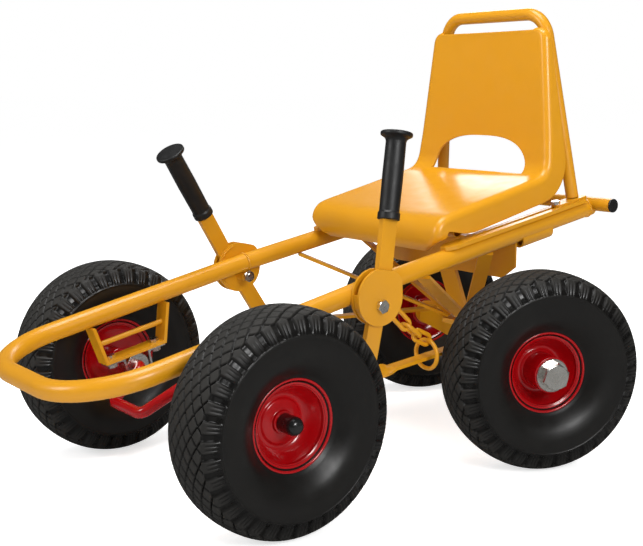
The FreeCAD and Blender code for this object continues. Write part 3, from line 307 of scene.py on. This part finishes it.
yellowPowder, yellowParts = finish("yellowPowder", (0.65, 0.285, 0.006), 0.33, (0.62, 0.30, 0.05), 0.10,
                         (650, 45, 0.5), 0.10, coat=0.15, coatRough=0.16, roughSpread=0.05)
redEnamel, redParts = finish("redEnamel", (0.36, 0.001, 0.003), 0.22, (0.25, 0.01, 0.01), 0.10,
                      (500, 35, 0.6), 0.08, coat=0.4, coatRough=0.06, roughSpread=0.05)
tyreRubber, tyreParts = finish("tyreRubber", (0.0030, 0.0027, 0.0024), 0.25, (0.016, 0.014, 0.011), 0.22,
                               (1400, 60, 0.35), 0.25, roughSpread=0.06)
gripRubber, _ = finish("gripRubber", (0.006, 0.006, 0.006), 0.45, (0.03, 0.03, 0.028), 0.12,
                       (1800, 90, 0.3), 0.5)
blackPlastic, _ = finish("blackPlastic", (0.008, 0.008, 0.008), 0.22, (0.04, 0.04, 0.04), 0.1,
                         (900, 80, 0.5), 0.06, coat=0.3)
zincPlate, _ = finish("zincPlate", (0.80, 0.78, 0.73), 0.26, (0.36, 0.33, 0.28), 0.4,
                      (1600, 120, 0.5), 0.18, metallic=1.0, roughSpread=0.1)

for parts, level in ((tyreParts, 0.36), (redParts, 0.45), (yellowParts, 0.42)):
    parts["shader"].inputs["Specular IOR Level"].default_value = level

finishOf = {"yellow_powder": yellowPowder, "red_enamel": redEnamel, "tyre": tyreRubber,
            "grip_rubber": gripRubber, "black_plastic": blackPlastic, "zinc": zincPlate}
print("finishes made")


def matteWhereWorn(parts, attribute, roughHere, toneHere):
    # the piece's own mask lifts the roughness and the tone on the faces that touch the road
    tree, link = parts["tree"], parts["tree"].links.new
    mask = tree.nodes.new("ShaderNodeAttribute")
    mask.attribute_name = attribute
    rough = tree.nodes.new("ShaderNodeMix")
    rough.inputs["B"].default_value = roughHere
    tone = tree.nodes.new("ShaderNodeMix")
    tone.data_type = "RGBA"
    tone.inputs["B"].default_value = (*toneHere, 1)
    link(mask.outputs["Fac"], rough.inputs["Factor"])
    link(parts["gloss"].outputs["Result"], rough.inputs["A"])
    link(rough.outputs["Result"], parts["shader"].inputs["Roughness"])
    link(mask.outputs["Fac"], tone.inputs["Factor"])
    link(parts["wear"].outputs["Color"], tone.inputs["A"])
    link(tone.outputs["Result"], parts["shader"].inputs["Base Color"])


roadWear = {"rough": 0.72, "tone": (0.020, 0.0185, 0.016)}
matteWhereWorn(tyreParts, "treadTop", roadWear["rough"], roadWear["tone"])

# finishes of the frame's own nodes

for nodeName, node in nodes.items():
    for materialSlot in node.material_slots:
        if materialSlot.material and materialSlot.material.name.split(".")[0] in finishOf:
            materialSlot.material = finishOf[materialSlot.material.name.split(".")[0]]
        else:
            print("no finish for", nodeName, materialSlot.material and materialSlot.material.name)

# tyres

# arc is the length along the carcass from the crown, in mm; depths are below the carcass
tyreSize = {
    "lugs": 36,                         # lugs round each shoulder
    "perLug": 18,                       # grid columns to a lug
    "treadRows": 43, "shoulderStep": 1.4, "shoulderEnd": 63.5, "shoulderRows": 12,
    "ringRows": (64.6, 65.4, 66.0, 66.6, 67.4), "wallStart": 70, "wallEnd": 127, "wallRows": 13,
    "blockAcross": 17.0,                # width of a tread block
    "grooveHalf": 1.8, "grooveDeep": 4.0, "lugDeep": 4.4, "slitDeep": 1.6,
    "crownHalf": 39.5,                  # arc where the blocks end and the lugs begin
    "gap": (10, 16), "slits": (2, 6), "slitFrom": 46,       # columns of a lug
    "lugIn": 38, "lugInOver": 3, "lugOut": 65.5, "lugOutOver": 9,
    "ringAt": 66.0, "ringHigh": 1.1, "ringHalf": 1.2,
    "lineHalf": 0.9, "innerLine": (84, 0.25), "outerLine": (104, 0.3),      # arc and height
    "reliefEnd": 120,
    "shallow": 0.1, "lugWorn": 0.75, "gapWorn": 0.12, "wallWorn": 0.22, "wornEnd": 62, "wornOver": 14,
    "wornLeast": 0.1, "wallFrom": 64,
    "beadInside": [[52.0, 23.0], [51.2, 0.0], [52.0, -23.0]],
    "section": [(150, 0), (149.7, 10), (148.4, 22), (145.2, 33), (139.4, 41), (130.5, 46), (119.5, 48.7),
                (108, 49), (96, 47.4), (85, 43.6), (75.5, 37.6), (68.6, 32.0), (64.2, 28.6), (62.6, 25.2)],
}


def tyreSection():
    # half of the section from the crown to the bead, with rows spaced evenly over the tread
    s = tyreSize
    step = s["blockAcross"] / s["perLug"]
    tread = np.arange(s["treadRows"]) * step
    shoulder = np.linspace(tread[-1] + s["shoulderStep"], s["shoulderEnd"], s["shoulderRows"])
    wall = np.linspace(s["wallStart"], s["wallEnd"], s["wallRows"])
    arc = np.concatenate([tread, shoulder, s["ringRows"], wall])
    return arc, smoothLine(s["section"], arc)


def ridge(side, at, half):
    # one on a line round the tyre, falling evenly to nothing on both its sides
    return np.clip(1 - np.abs(side - at) / half, 0, 1)


def tyreRelief(arc, lugShift):
    # depth below the carcass and the mask of the block tops, over (arc, position round the wheel):
    # crossing diagonal grooves on the crown, lugs parted by gaps and slits on the shoulder
    s = tyreSize
    n = s["perLug"]
    column = np.arange(s["lugs"] * n)[None, :]
    row = np.round(arc / (s["blockAcross"] / n))[:, None]
    side = np.abs(arc)[:, None]
    one = (column + row + n // 2) % n
    two = (column - row + n // 2) % n
    near = np.minimum(np.abs(one - n / 2), np.abs(two - n / 2))
    groove = np.clip(s["grooveHalf"] - near, 0, 1) * s["grooveDeep"]
    crown = side < s["crownHalf"]
    phase = (column + lugShift) % n
    gap = (phase >= s["gap"][0]) & (phase <= s["gap"][1])
    slit = (phase == s["slits"][0]) | (phase == s["slits"][1])
    fadeIn = np.clip((side - s["lugIn"]) / s["lugInOver"], 0, 1)
    fadeOut = np.clip((s["lugOut"] - side) / s["lugOutOver"], 0, 1)
    cut = np.where(gap, s["lugDeep"], np.where(slit & (side > s["slitFrom"]), s["slitDeep"], 0.0))
    lug = cut * (fadeIn * fadeOut)
    ring = s["ringHigh"] * ridge(side, s["ringAt"], s["ringHalf"])
    fine = sum(high * ridge(side, at, s["lineHalf"]) for at, high in (s["innerLine"], s["outerLine"]))
    down = np.where(crown, groove, lug) - ring - fine
    block = np.where(groove < s["shallow"], 1.0, 0.0)
    worn = np.where(lug < s["shallow"], s["lugWorn"], s["gapWorn"])
    shoulder = worn * np.clip((s["wornEnd"] - side) / s["wornOver"], s["wornLeast"], 1)
    top = np.where(crown, block, np.where(side < s["wallFrom"], shoulder, s["wallWorn"]))
    return down, top


def spokes(axis, turn):
    # unit directions round a level axis, from straight up
    up = np.array([0, 0, 1.0])
    side = np.cross(axis, up)
    return np.cos(turn)[None, :, None] * up + np.sin(turn)[None, :, None] * side


def makeTyre(node, body, centre, axis, lugShift):
    # section (radius, width) turned about the axle, with each point sunk along the section's normal
    arc, half = tyreSection()
    arc = np.concatenate([-arc[:0:-1], arc])
    section = np.concatenate([half[:0:-1] * (1, -1), half])
    run = np.gradient(section, axis=0)
    normal = np.stack([run[:, 1], -run[:, 0]], -1)
    normal /= np.linalg.norm(normal, axis=1)[:, None]
    normal *= np.sign(normal[len(normal) // 2, 0])
    down, top = tyreRelief(arc, lugShift)
    down = down * (np.abs(arc)[:, None] < tyreSize["reliefEnd"])
    radius = section[:, :1] - normal[:, :1] * down
    width = section[:, 1:] - normal[:, 1:] * down
    inner = np.array(tyreSize["beadInside"])
    columns = down.shape[1]
    radius = np.vstack([radius, np.repeat(inner[:, :1], columns, 1)]) * mm
    width = np.vstack([width, np.repeat(inner[:, 1:], columns, 1)]) * mm
    top = np.vstack([top, np.zeros((len(inner), columns))])
    turn = np.linspace(0, 2 * math.pi, columns, endpoint=False)
    axis = unit(axis)
    points = centre + radius[..., None] * spokes(axis, turn) + width[..., None] * axis
    rows = points.shape[0]
    points = points.reshape(-1, 3)
    faces = outward(points - centre, gridFaces(rows, columns, True, True))
    tyre = makeMesh(node + "Rubber", points, faces, tyreRubber, body)
    mask = tyre.data.attributes.new("treadTop", "FLOAT", "POINT")
    mask.data.foreach_set("value", top.ravel())
    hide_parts(node)


def middle(node):
    # the middle of a node's box
    low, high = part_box(node)
    return np.array((low + high) / 2)


# rims

rimSize = {
    # section (radius, width outwards): the outer face from hub to lip, then the barrel to the inner hub
    "face": [(28.0, 0.6), (29.6, -0.6), (31.5, -2.4), (36, -2.2), (42, 3.5), (49, 14.5), (52.6, 19.6),
             (54.6, 21.2), (56.2, 22.0), (57.2, 24.4), (58.4, 26.4), (60.0, 27.3), (61.4, 26.6), (61.5, 25.2)],
    "faceRows": 70,
    "barrel": [(54, 24.2), (50.6, 22.0), (50.4, 10), (47.5, 4), (47.5, -8), (50.4, -14), (50.6, -22.0),
               (54, -24.2), (61.5, -25.2), (61.4, -26.6), (60.0, -27.3), (58.4, -26.4), (54, -21), (49, -17),
               (46, -13), (38, -9.5), (32, -7.4), (28.0, -5.6)],
    "frontHub": (15, 6, 8.6), "rearHub": (27, 42, 12.1),        # radius, length outwards, bore
    "chamfer": 1.0, "edge": 0.3, "root": [(0.0, 1.4), (0.6, 0.8), (1.2, 0.6)],
    "hubInStart": -5.6, "hubInEnd": -32, "hubInEdge": -31,
    "columns": 96, "crease": 42,
}


def makeRim(node, body, centre, axis, hub, hubOut, bore):
    # pressed steel disc and hub: a closed section turned about the axle
    s = rimSize
    face = smoothLine(s["face"], s["faceRows"])
    barrel = np.array(s["barrel"])
    chamfer, edge = s["chamfer"], s["edge"]
    hubOuter = [(bore, hubOut), (hub - chamfer, hubOut), (hub - edge, hubOut - edge), (hub, hubOut - chamfer)]
    hubOuter = np.array(hubOuter + [(hub + out, high) for out, high in s["root"]])
    hubInner = np.array([(hub, s["hubInStart"]), (hub, s["hubInEdge"]), (hub - chamfer, s["hubInEnd"]),
                         (bore, s["hubInEnd"])])
    faceFrom = hub + s["root"][-1][0]
    section = np.vstack([hubOuter, face[face[:, 0] > faceFrom], barrel[barrel[:, 0] > hub], hubInner]) * mm
    columns = s["columns"]
    turn = np.linspace(0, 2 * math.pi, columns, endpoint=False)
    axis = unit(axis)
    radius, width = section[:, 0][:, None, None], section[:, 1][:, None, None]
    points = (centre + radius * spokes(axis, turn) + width * axis).reshape(-1, 3)
    faces = outward(points - centre, gridFaces(len(section), columns, True, True))
    rim = makeMesh(node + "Steel", points, faces, redEnamel, body)
    split = rim.modifiers.new("edges", "EDGE_SPLIT")
    split.split_angle = math.radians(s["crease"])
    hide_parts(node)


rearAxis = unit(jointOf["left_rear_wheel_spin"]["axis"])
makeTyre("left_front_tyre", "crank", middle("left_front_tyre"), (1, 0, 0), 4)
makeTyre("right_front_tyre", "right_front_wheel", middle("right_front_tyre"), (-1, 0, 0), 11)
makeTyre("left_rear_tyre", "left_rear_wheel", middle("left_rear_tyre"), rearAxis, 7)
makeTyre("right_rear_tyre", "right_rear_wheel", middle("right_rear_tyre"), -rearAxis, 2)
print("tyres made")

rimsAt = [("left_front", "crank", (1, 0, 0)), ("right_front", "right_front_wheel", (-1, 0, 0)),
          ("left_rear", "left_rear_wheel", rearAxis), ("right_rear", "right_rear_wheel", -rearAxis)]
for wheel, body, axis in rimsAt:
    hubSize = rimSize["frontHub"] if "front" in wheel else rimSize["rearHub"]
    makeRim(wheel + "_rim", body, middle(wheel + "_tyre"), axis, *hubSize)
print("rims made")

# seat

seatSize = {
    # side view of the skin as (y, z), from the lip under the front edge over the pan to the top of the back
    "side": [(350, 329), (341.5, 336), (338.2, 347), (339.5, 360), (346, 371), (360, 378.6), (400, 388.6),
             (460, 403), (520, 417.6), (548, 424.6), (563, 432.5), (571.5, 447), (574.5, 470), (577, 500),
             (581, 580), (585, 658.6)],
    "rows": 150, "flatPoints": 41, "bendPoints": 8,
    "halfWide": 155, "halfTop": 127, "corner": 7.5, "top": 658.6, "topCorner": 14, "thick": 4.0,
    "riseFrom": 432, "riseTo": 659,                         # heights between which the back narrows
    "lipNarrow": 34, "lipFrom": 356, "lipOver": 28, "lipCurve": 1.6, "lipBefore": 420,
    # depth of the turned-down sides: along the pan, over the front and up the back
    "panSide": 37, "backSide": 7, "backSideMore": 33, "backSideFrom": 440,
    "frontLess": 20, "frontFrom": 390, "frontOver": 40, "sideSmooth": 13,
    "dish": 5.0, "dishCurve": 0.5, "dishLess": 0.3, "dishLessFrom": 436, "dishLessOver": 20,
    "hem": 1.1, "hemSteps": 2, "hemAngle": 50,
    "archHalf": 107, "archLow": 431.5, "archHigh": 58, "archSquare": 0.72, "archFull": 0.8, "archPoints": 61,
    "archFront": 520, "archBack": 680,
}


def makeSeat(node, body):
    # the side view carried across, with a round corner to a turned-down flange on each side
    s = seatSize
    rows = s["rows"]
    side = smoothLine(s["side"], rows)
    y, z = side[:, 0], side[:, 1]
    run = np.gradient(side, axis=0)
    run /= np.linalg.norm(run, axis=1)[:, None]
    normal = np.stack([-run[:, 1], run[:, 0]], -1)
    part = np.linspace(0, 1, rows)
    rise = np.clip((z - s["riseFrom"]) / (s["riseTo"] - s["riseFrom"]), 0, 1)
    wide = s["halfWide"] - (s["halfWide"] - s["halfTop"]) * rise
    lip = np.clip((s["lipFrom"] - z) / s["lipOver"], 0, 1) ** s["lipCurve"]
    wide -= s["lipNarrow"] * lip * (y < s["lipBefore"])
    left = np.clip(s["topCorner"] - (s["top"] - z), 0, None)
    wide -= s["topCorner"] - np.sqrt(s["topCorner"] ** 2 - left**2)
    onBack = np.clip((z - s["dishLessFrom"]) / s["dishLessOver"], 0, 1)
    upBack = s["backSide"] + s["backSideMore"] * (1 - rise)
    front = s["frontLess"] * np.clip((s["frontFrom"] - y) / s["frontOver"], 0, 1)
    depth = np.where(z > s["backSideFrom"], upBack, s["panSide"]) - front
    smooth = s["sideSmooth"]
    depth = np.convolve(np.pad(depth, smooth // 2, mode="edge"), np.ones(smooth) / smooth, mode="valid")
    r = s["corner"]
    flat = np.linspace(-1, 1, s["flatPoints"])
    bend = np.linspace(0, math.pi / 2, s["bendPoints"])[1:]
    drop = np.linspace(0, 1, s["bendPoints"])[1:]
    xFlat = flat[None, :] * (wide - r)[:, None]
    xBend = (wide - r)[:, None] + r * np.sin(bend)[None, :]
    xDrop = wide[:, None] + 0 * drop[None, :]
    dFlat = np.zeros_like(xFlat)
    dBend = r * (1 - np.cos(bend))[None, :] + 0 * xBend
    dDrop = r + drop[None, :] * (depth - r)[:, None]
    x = np.hstack([-xDrop[:, ::-1], -xBend[:, ::-1], xFlat, xBend, xDrop])
    down = np.hstack([dDrop[:, ::-1], dBend[:, ::-1], dFlat, dBend, dDrop])
    # the pan and the back are a little hollow in their middle
    across = (1 - (x / wide[:, None]) ** 2).clip(0, 1)
    hollow = s["dish"] * across * (np.sin(math.pi * part) ** s["dishCurve"])[:, None]
    down = down + hollow * (1 - s["dishLess"] * onBack)[:, None]
    points = np.stack([x, y[:, None] - down * normal[:, :1], z[:, None] - down * normal[:, 1:]], -1) * mm
    seat = makeMesh("seatSkin", points.reshape(-1, 3), gridFaces(rows, x.shape[1]), yellowPowder, body)
    if seat.data.polygons[0].normal.dot(Vector((0, -normal[0, 0], -normal[0, 1]))) > 0:
        seat.data.flip_normals()
    wall = seat.modifiers.new("wall", "SOLIDIFY")
    wall.thickness = s["thick"] * mm
    wall.offset = -1
    cutter = archCutter()
    opening = seat.modifiers.new("opening", "BOOLEAN")
    opening.object = cutter
    opening.solver = "EXACT"
    bpy.context.view_layer.update()
    made = bpy.data.meshes.new_from_object(seat.evaluated_get(bpy.context.evaluated_depsgraph_get()))
    seat.modifiers.clear()
    seat.data = made
    bpy.data.objects.remove(cutter)
    hem = seat.modifiers.new("hem", "BEVEL")
    hem.width = s["hem"] * mm
    hem.segments = s["hemSteps"]
    hem.limit_method = "ANGLE"
    hem.angle_limit = math.radians(s["hemAngle"])
    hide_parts(node)


def archCutter():
    # a rounded half-oval with a flat foot, carried through the back; its faces are turned to point outwards
    s = seatSize
    t = np.linspace(0, math.pi, s["archPoints"])
    x = s["archHalf"] * np.sign(np.cos(t)) * np.abs(np.cos(t)) ** s["archSquare"]
    z = s["archLow"] + s["archHigh"] * np.sin(t) ** s["archFull"]
    ring = np.stack([x, 0 * x, z], -1)
    points = np.vstack([ring + (0, s["archFront"], 0), ring + (0, s["archBack"], 0)]) * mm
    n = len(t)
    mesh = bpy.data.meshes.new("archCutter")
    walls = [(k, (k + 1) % n, (k + 1) % n + n, k + n) for k in range(n)]
    mesh.from_pydata(points.tolist(), [], walls + [tuple(range(n))[::-1], tuple(range(n, 2 * n))])
    mesh.flip_normals()
    cutter = bpy.data.objects.new("archCutter", mesh)
    bpy.context.scene.collection.objects.link(cutter)
    return cutter


makeSeat("seat_shell", "seat")
print("seat made")

# bolts with chamfered heads

boltSize = {
    "axleFlats": 36, "axleHead": 14, "axleTurn": 0.3, "washer": 25, "washerThick": 3, "washerEdge": 0.5,
    "washerFoot": 0.6, "washerTop": 0.7, "washerRound": 0.8, "shank": 12, "shankStart": -72, "washerAt": 42.6,
    "pivotFlats": 17, "pivotHead": 6.5, "pivotShank": 5, "pivotTip": 4.2, "pivotTurn": 0.2, "nutTurn": 0.5,
    "crown": 0.485, "crownInner": 0.86, "chamferSlope": 0.55, "dimple": 0.3,    # shares of the flats or crown
    "columns": 96, "turnedColumns": 64, "crease": 24,
}


def hexHead(centre, axis, flats, height, turnBy=0.0):
    # six flats whose top corners are taken off by a cone, closed at top and bottom
    s = boltSize
    columns = s["columns"]
    turn = np.linspace(0, 2 * math.pi, columns, endpoint=False)
    hexRadius = flats / 2 / np.cos((turn + math.pi / 6) % (math.pi / 3) - math.pi / 6)
    crown = flats * s["crown"]
    edge = height - (hexRadius - crown) * s["chamferSlope"]
    pole, top = 0 * turn, np.full(columns, height)
    radius = np.stack([pole, hexRadius, hexRadius, np.full(columns, crown),
                       np.full(columns, crown * s["crownInner"]), pole])
    level = np.stack([pole, pole, edge, top, top, np.full(columns, height - s["dimple"])])
    return aboutAxis(centre, axis, radius, level, turn + turnBy)


def aboutAxis(centre, axis, radius, level, turn):
    # rings of points about an axis, closed from pole to pole
    axis = unit(axis)
    side = unit(np.cross(axis, (0, 0, 1.0)))
    up = np.cross(side, axis)
    spoke = np.cos(turn)[None, :, None] * up + np.sin(turn)[None, :, None] * side
    points = centre + (radius[..., None] * spoke + level[..., None] * axis) * mm
    rows, columns = radius.shape
    points = points.reshape(-1, 3)
    faces = gridFaces(rows, columns, False, True)
    return points, outward(points - centre, faces)


def turnedPiece(centre, axis, section):
    # a section (radius, distance along the axis) turned about the axis
    section = np.array(section, float)
    columns = boltSize["turnedColumns"]
    turn = np.linspace(0, 2 * math.pi, columns, endpoint=False)
    radius = np.repeat(section[:, :1], columns, 1)
    level = np.repeat(section[:, 1:], columns, 1)
    return aboutAxis(centre, axis, radius, level, turn)


def joined(parts):
    # several closed surfaces as one mesh
    points = np.vstack([part[0] for part in parts])
    starts = np.cumsum([0] + [len(part[0]) for part in parts[:-1]])
    return points, np.vstack([part[1] + start for part, start in zip(parts, starts)])


def boltFromParts(node, body, parts):
    # the zinc-plated mesh of a bolt, with its edges kept crisp, in the node's place
    points, faces = joined(parts)
    bolt = makeMesh(node + "Zinc", points, faces, zincPlate, body)
    bolt.data.validate()
    split = bolt.modifiers.new("edges", "EDGE_SPLIT")
    split.split_angle = math.radians(boltSize["crease"])
    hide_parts(node)


def axleBolt(node, body, centre, axis):
    # shank through the hub, washer with soft edges and a big chamfered head
    s = boltSize
    start, seatAt = s["shankStart"], s["washerAt"]
    top = seatAt + s["washerThick"]
    shankEnd = seatAt + 1
    w = s["washer"]
    wide = s["shank"]
    shank = turnedPiece(centre, axis, [(0, start), (wide, start), (wide, shankEnd), (0, shankEnd)])
    washer = turnedPiece(centre, axis, [(0, seatAt), (w - s["washerEdge"], seatAt),
                                        (w, seatAt + s["washerFoot"]), (w, top - s["washerTop"]),
                                        (w - s["washerRound"], top), (0, top)])
    head = hexHead(centre + unit(axis) * top * mm, axis, s["axleFlats"], s["axleHead"], s["axleTurn"])
    boltFromParts(node, body, [shank, washer, head])


def pivotBolt(node, body, way):
    # shank, head outside and nut inside, on a crosswise axis through the middle of the node
    s = boltSize
    low, high = (np.array(corner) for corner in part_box(node))
    centre = (low + high) / 2
    half = (high[0] - low[0]) / 2 / mm
    axis = np.array([way, 0, 0.0])
    inner = half - s["pivotHead"]
    wide = s["pivotShank"]
    shank = turnedPiece(centre, axis, [(0, -half - 1), (s["pivotTip"], -half - 1), (wide, -half),
                                       (wide, inner), (0, inner)])
    head = hexHead(centre + axis * inner * mm, axis, s["pivotFlats"], s["pivotHead"], s["pivotTurn"])
    nut = hexHead(centre - axis * inner * mm, -axis, s["pivotFlats"], s["pivotHead"], s["nutTurn"])
    boltFromParts(node, body, [shank, head, nut])


axleBolt("left_axle_bolt", "rear_axle", middle("left_rear_tyre"), rearAxis)
axleBolt("right_axle_bolt", "rear_axle", middle("right_rear_tyre"), -rearAxis)
pivotBolt("left_pivot_bolt", "frame", 1)
pivotBolt("right_pivot_bolt", "frame", -1)
print("bolts made")

# weld beads

weldSize = {
    "bead": 1.7, "ripple": 0.22, "ripplePitch": 2.4, "rowsPerRipple": 8, "taperRows": 6, "around": 10,
    "tube": 14.0, "bar": 13.6, "plate": 37.0, "plateFrom": 200, "plateTo": 330,     # radii, and angles
    "tubeX": 158, "jointY": 204, "jointZ": 290, "barY": 656, "rearRise": 10.6, "plateX": 172.6, "plateZ": 280,
}


def weldRing(name, body, centre, axis, radius, start=0.0, end=360.0):
    # a rippled bead round a tube, from one angle to another, both ends drawn to a point
    s = weldSize
    length = 2 * math.pi * radius * (end - start) / 360
    rows = int(length / s["ripplePitch"] * s["rowsPerRipple"])
    turn = np.radians(np.linspace(start, end, rows))
    around = np.linspace(0, 2 * math.pi, s["around"], endpoint=False)
    ripple = 1 + s["ripple"] * np.sin(2 * math.pi * np.linspace(0, length, rows) / s["ripplePitch"])
    fromEnd = np.minimum(np.arange(rows), np.arange(rows)[::-1])
    taper = np.sqrt(np.clip(fromEnd / s["taperRows"], 0, 1))
    thick = (s["bead"] * ripple * taper)[:, None]
    axis = unit(axis)
    side = unit(np.cross(axis, (0.13, 0.2, 1.0)))
    up = np.cross(side, axis)
    spoke = np.cos(turn)[:, None] * up + np.sin(turn)[:, None] * side
    out = (radius + thick * np.cos(around)[None, :])[..., None] * spoke[:, None, :]
    points = centre + (out + (thick * np.sin(around)[None, :])[..., None] * axis) * mm
    points = points.reshape(-1, 3)
    faces = outward(points - centre, gridFaces(rows, s["around"], False, True))
    makeMesh(name, points, faces, yellowPowder, body)


for name, way in (("left", 1), ("right", -1)):
    w = weldSize
    slope = np.array([0, 1, math.tan(math.radians(w["rearRise"]))])
    joint = np.array([way * w["tubeX"] * mm, w["jointY"] * mm, w["jointZ"] * mm])
    weldRing(name + "JointWeld", "frame", joint, slope, w["tube"])
    barAt = joint + slope * (w["barY"] - w["jointY"]) * mm
    weldRing(name + "BarWeld", "frame", barAt, slope, w["bar"])
    webAt = np.array([way * w["plateX"] * mm, w["jointY"] * mm, w["plateZ"] * mm])
    weldRing(name + "PlateWeld", "frame", webAt, (way, 0, 0), w["plate"], w["plateFrom"], w["plateTo"])
print("welds made")
